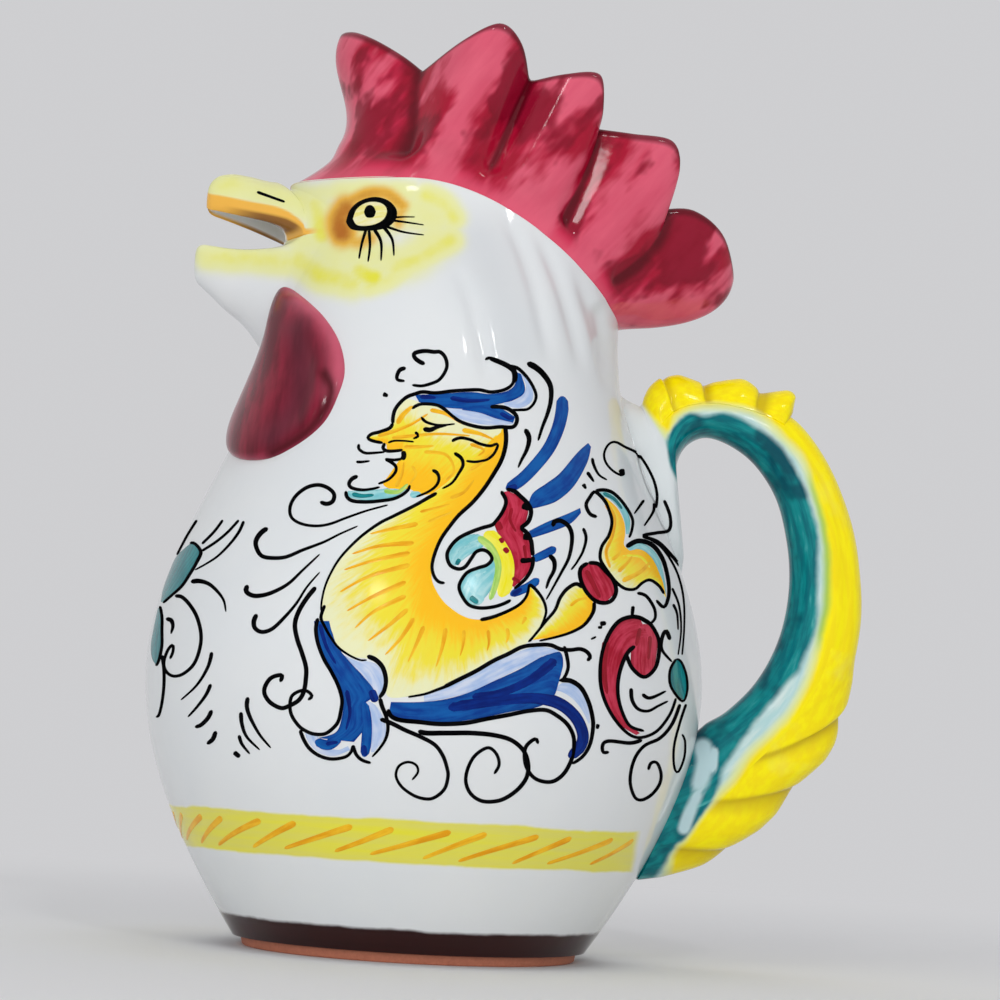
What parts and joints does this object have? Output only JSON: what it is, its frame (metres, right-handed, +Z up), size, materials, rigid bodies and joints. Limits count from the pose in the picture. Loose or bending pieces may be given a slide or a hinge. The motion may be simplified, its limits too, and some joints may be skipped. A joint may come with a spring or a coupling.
{
  "type": "rooster pitcher",
  "caption": "Glazed earthenware pitcher shaped as a rooster, with a ruffled comb round the mouth, an open beak for a spout and a loop handle.",
  "frame": {"origin": "middle of the foot ring's standing face, on the axis of the turned body", "axes": "+Z up, -X towards the beak, +X towards the handle, the two sides alike across Y"},
  "size_m": [0.1899, 0.148, 0.2486],
  "materials": {
    "white_glaze": "gloss",
    "crimson_glaze": "gloss",
    "green_glaze": "gloss",
    "yellow_glaze": "gloss",
    "bare_clay": "matt"
  },
  "bodies": {
    "root": {"foot_ring": "bare_clay", "base_floor": "white_glaze", "belly_shell": "white_glaze", "neck_shell": "white_glaze", "head_shell": "white_glaze", "comb_collar": "crimson_glaze", "upper_beak": "white_glaze", "lower_beak": "white_glaze", "wattle_left": "crimson_glaze", "wattle_right": "crimson_glaze", "handle_loop": "green_glaze", "handle_crest": "yellow_glaze", "tail_feathers": "yellow_glaze"}
  },
  "joints": []
}
